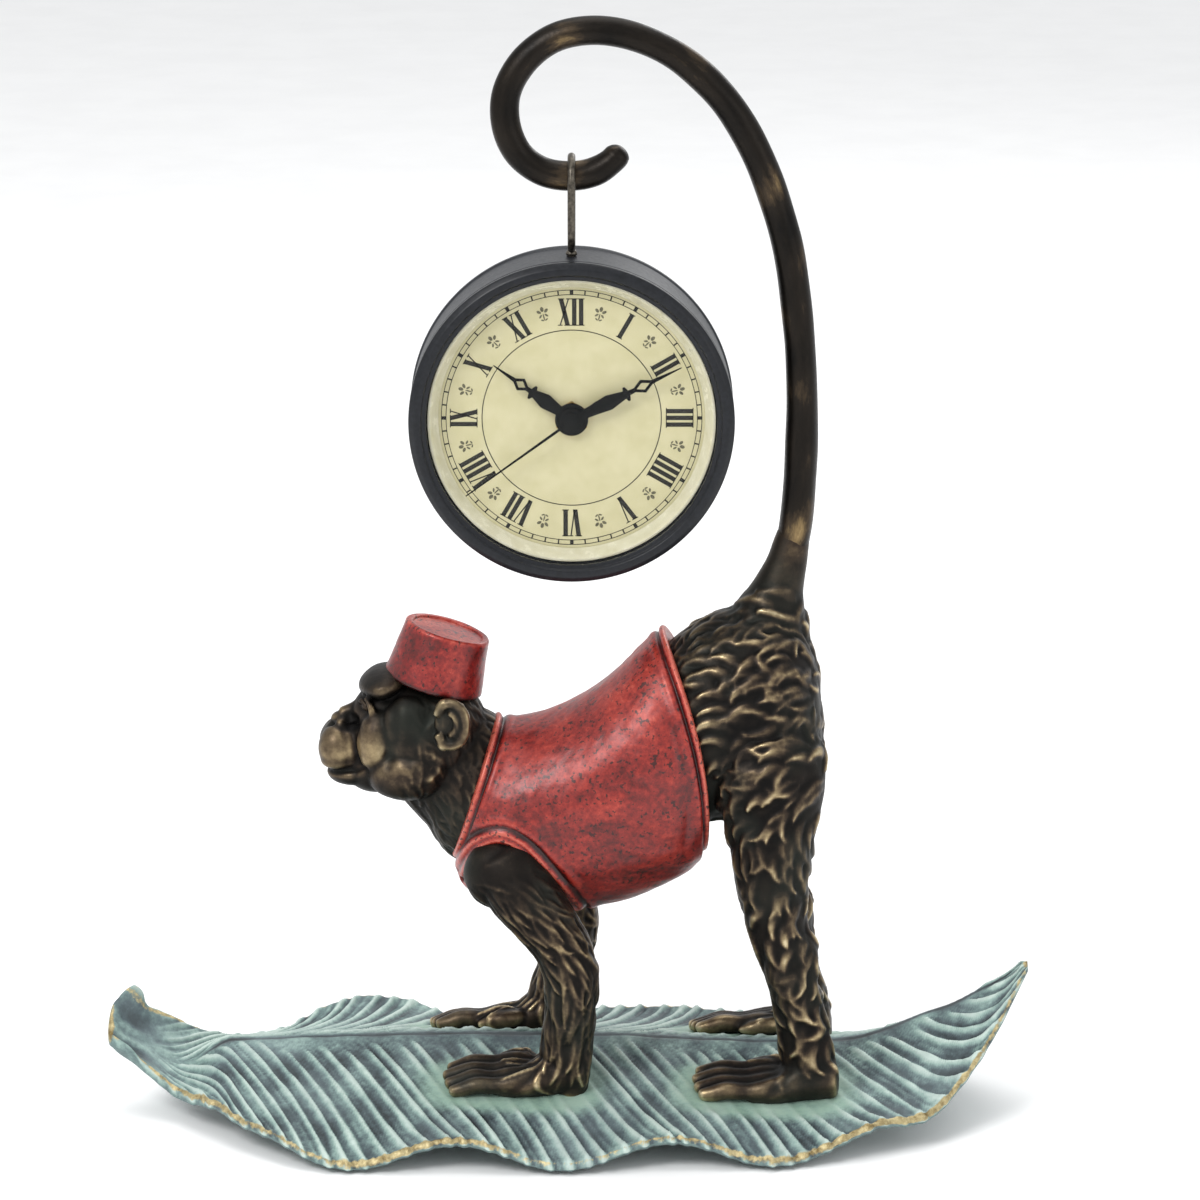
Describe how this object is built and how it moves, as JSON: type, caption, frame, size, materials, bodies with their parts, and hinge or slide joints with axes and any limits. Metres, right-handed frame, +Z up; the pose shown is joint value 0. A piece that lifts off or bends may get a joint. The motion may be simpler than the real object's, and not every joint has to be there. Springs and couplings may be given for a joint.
{
  "type": "figural desk clock",
  "caption": "Cast monkey in a fez and waistcoat on a leaf base, with a round quartz clock hung by a wire ring from the hook of its tail.",
  "frame": {"origin": "centre of the footprint, on the table under the felt pads", "axes": "+Z up; the dial faces -Y; the monkey faces -X, towards the leaf's stalk"},
  "size_m": [0.267, 0.1236, 0.3201],
  "materials": {
    "leaf": "cast, verdigris patina with rubbed edges",
    "bronze": "cast, dark antique patina, rubbed bright on the high parts",
    "tail_bronze": "cast, dark antique patina, satin",
    "red_enamel": "cold enamel over bronze, mottled, semi-gloss",
    "felt": "self-adhesive felt",
    "steel": "zinc plated",
    "dark_wire": "darkened steel wire",
    "black_paint": "satin black",
    "crystal": "clear, polished",
    "cream_dial": "cream lacquer",
    "cream_ring": "cream, glossy",
    "black_hand": "satin black",
    "movement_plastic": "moulded, matt",
    "wheel_plastic": "moulded, natural white",
    "rubber": "matt",
    "brass": "machined",
    "coil_wire": "enamelled copper wire",
    "board": "solder-masked board",
    "cell_wrap": "plain printed wrap, no words"
  },
  "bodies": {
    "figure": {"leaf_base": "leaf", "felt_pad_1": "felt", "felt_pad_2": "felt", "felt_pad_3": "felt", "felt_pad_4": "felt", "near_hand_screw": "steel", "far_hand_screw": "steel", "near_foot_screw": "steel", "far_foot_screw": "steel", "near_arm": "bronze", "far_arm": "bronze", "near_leg": "bronze", "far_leg": "bronze", "haunches": "bronze", "tail": "tail_bronze", "head": "bronze", "fez": "red_enamel", "waistcoat": "red_enamel"},
    "hanger": {"hanger_ring": "dark_wire", "hanger_nut": "steel"},
    "case": {"case_drum": "black_paint"},
    "insert": {"bezel": "black_paint", "crystal": "crystal", "grip_ring": "rubber", "insert_housing": "movement_plastic", "dial": "cream_dial", "dial_ring": "cream_ring", "movement_base": "movement_plastic", "movement_cover": "movement_plastic", "insert_screw_1": "steel", "insert_screw_2": "steel", "centre_nut": "brass", "coil": "coil_wire", "stator": "steel", "circuit_board": "board", "quartz_can": "steel", "positive_contact": "steel", "negative_contact": "steel"},
    "seconds_train": {"seconds_wheel": "wheel_plastic", "second_hand": "black_hand"},
    "minute_train": {"centre_wheel": "wheel_plastic", "cannon_pinion": "wheel_plastic", "minute_hand": "black_hand"},
    "hour_train": {"hour_wheel": "wheel_plastic", "hour_hand": "black_hand"},
    "third": {"third_wheel": "wheel_plastic"},
    "intermediate": {"intermediate_wheel": "wheel_plastic"},
    "rotor_arbor": {"rotor": "wheel_plastic"},
    "minute_work": {"minute_work_wheel": "wheel_plastic"},
    "setting": {"setting_knob": "movement_plastic"},
    "battery": {"cell": "cell_wrap"}
  },
  "joints": [
    {"name": "ring_swing", "type": "hinge", "parent": "figure", "child": "hanger", "pos_m": [0.0015, 0, 0.2748], "axis": [1, 0, 0], "range_deg": [-25, 25]},
    {"name": "clock_swivel", "type": "hinge", "parent": "hanger", "child": "case", "pos_m": [0.0015, 0, 0.2525], "axis": [0, 0, 1], "range_deg": [-20, 20]},
    {"name": "insert_pull", "type": "slide", "parent": "case", "child": "insert", "axis": [0, -1, 0], "range_m": [0, 0.03]},
    {"name": "cell_out", "type": "slide", "parent": "insert", "child": "battery", "axis": [0, 1, 0], "range_m": [0, 0.018]},
    {"name": "second_turn", "type": "hinge", "parent": "insert", "child": "seconds_train", "pos_m": [0.0015, 0, 0.2065], "axis": [0, 1, 0], "continuous": true},
    {"name": "minute_turn", "type": "hinge", "parent": "insert", "child": "minute_train", "pos_m": [0.0015, 0, 0.2065], "axis": [0, 1, 0], "continuous": true},
    {"name": "hour_turn", "type": "hinge", "parent": "insert", "child": "hour_train", "pos_m": [0.0015, 0, 0.2065], "axis": [0, 1, 0], "continuous": true},
    {"name": "third_turn", "type": "hinge", "parent": "insert", "child": "third", "pos_m": [0.0069, 0, 0.21585], "axis": [0, 1, 0], "continuous": true},
    {"name": "intermediate_turn", "type": "hinge", "parent": "insert", "child": "intermediate", "pos_m": [-0.00865, 0, 0.21019], "axis": [0, 1, 0], "continuous": true},
    {"name": "rotor_turn", "type": "hinge", "parent": "insert", "child": "rotor_arbor", "pos_m": [-0.01575, 0, 0.2121], "axis": [0, 1, 0], "continuous": true},
    {"name": "minute_work_turn", "type": "hinge", "parent": "insert", "child": "minute_work", "pos_m": [0.0105, 0, 0.2065], "axis": [0, 1, 0], "continuous": true},
    {"name": "setting_turn", "type": "hinge", "parent": "insert", "child": "setting", "pos_m": [0.0195, 0, 0.2065], "axis": [0, 1, 0], "continuous": true}
  ],
  "couplings": [
    {"joint": "minute_turn", "follows": "second_turn", "ratio": 0.016667},
    {"joint": "hour_turn", "follows": "second_turn", "ratio": 0.0013889},
    {"joint": "third_turn", "follows": "second_turn", "ratio": -0.125},
    {"joint": "intermediate_turn", "follows": "second_turn", "ratio": -5},
    {"joint": "rotor_turn", "follows": "second_turn", "ratio": 30},
    {"joint": "minute_work_turn", "follows": "second_turn", "ratio": -0.0055556},
    {"joint": "setting_turn", "follows": "second_turn", "ratio": 0.016667}
  ]
}
